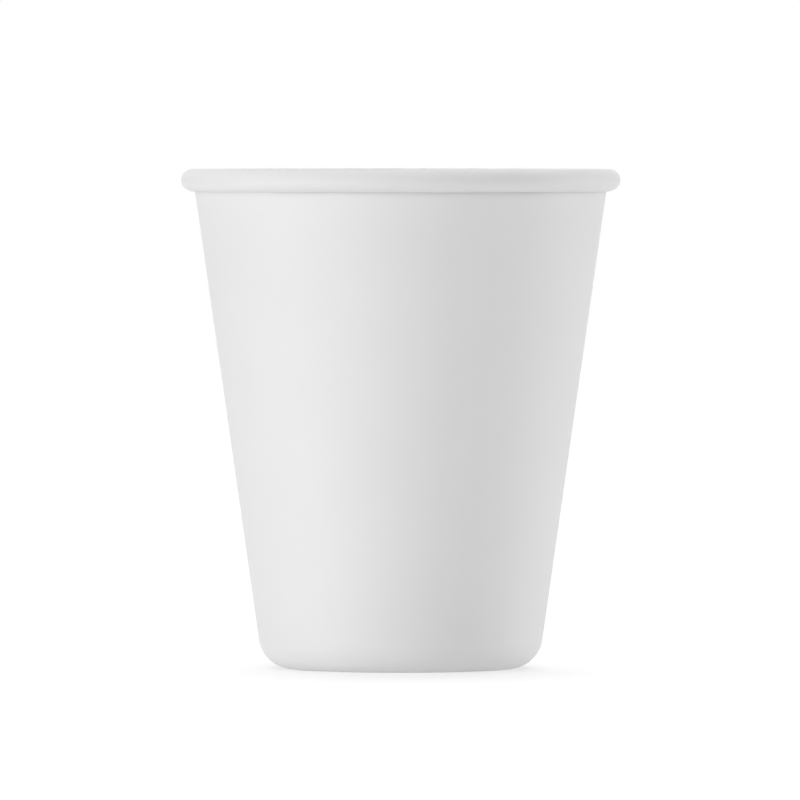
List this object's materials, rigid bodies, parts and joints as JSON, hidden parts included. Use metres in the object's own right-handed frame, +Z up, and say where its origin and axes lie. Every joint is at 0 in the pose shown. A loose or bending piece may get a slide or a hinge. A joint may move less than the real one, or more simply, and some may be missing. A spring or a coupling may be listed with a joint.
{
  "type": "reusable plastic cup",
  "caption": "Plain white tapered drinking cup formed in one piece, with a rolled hollow rim, a rounded heel and a raised base inside a standing ring.",
  "frame": {"origin": "middle of the flat standing ring, on the surface that the cup stands on", "axes": "+Z up along the cup's axis, out of the mouth; the cup is round, so +X and +Y have no front of their own"},
  "size_m": [0.08, 0.08, 0.091],
  "materials": {
    "white_polypropylene": "white satin polypropylene, formed from sheet"
  },
  "bodies": {
    "root": {"cup": "white_polypropylene"}
  },
  "joints": []
}
